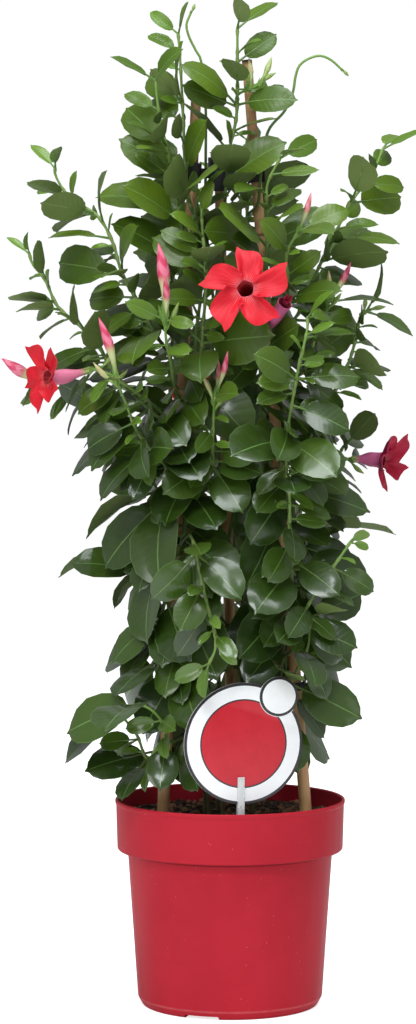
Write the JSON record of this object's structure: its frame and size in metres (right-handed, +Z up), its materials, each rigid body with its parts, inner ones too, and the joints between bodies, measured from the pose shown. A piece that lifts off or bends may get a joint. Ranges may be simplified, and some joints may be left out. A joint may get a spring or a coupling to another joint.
{
  "type": "potted climbing mandevilla",
  "caption": "Red-flowered climbing mandevilla trained up leaning bamboo canes in a round red plastic nursery pot, with a blank round plant label on a stake.",
  "frame": {"origin": "centre of the pot's underside, on the floor", "axes": "+Z up along the plant, -Y towards the viewer of the label, +X to the viewer's right"},
  "size_m": [0.3057, 0.2541, 0.7365],
  "materials": {
    "pot_red": "satin",
    "soil_peat": "matte",
    "bamboo": "satin",
    "black_plastic": "matte",
    "label_card": "satin",
    "stake_clear": "gloss",
    "foliage_green": "satin",
    "petal_red": "satin"
  },
  "bodies": {
    "root": {"pot": "pot_red", "soil": "soil_peat", "cane_left": "bamboo", "cane_right": "bamboo", "cane_back": "bamboo", "spreader": "black_plastic", "tie_left": "black_plastic", "tie_right": "black_plastic", "label": "label_card", "label_stake": "stake_clear", "vine_left_a": "foliage_green", "vine_left_b": "foliage_green", "vine_left_c": "foliage_green", "vine_right_a": "foliage_green", "vine_right_b": "foliage_green", "vine_right_c": "foliage_green", "vine_back_a": "foliage_green", "vine_back_b": "foliage_green", "bloom_main": "petal_red", "bloom_left": "petal_red", "bloom_right": "petal_red", "bloom_half": "petal_red", "bloom_back": "petal_red"}
  },
  "joints": []
}
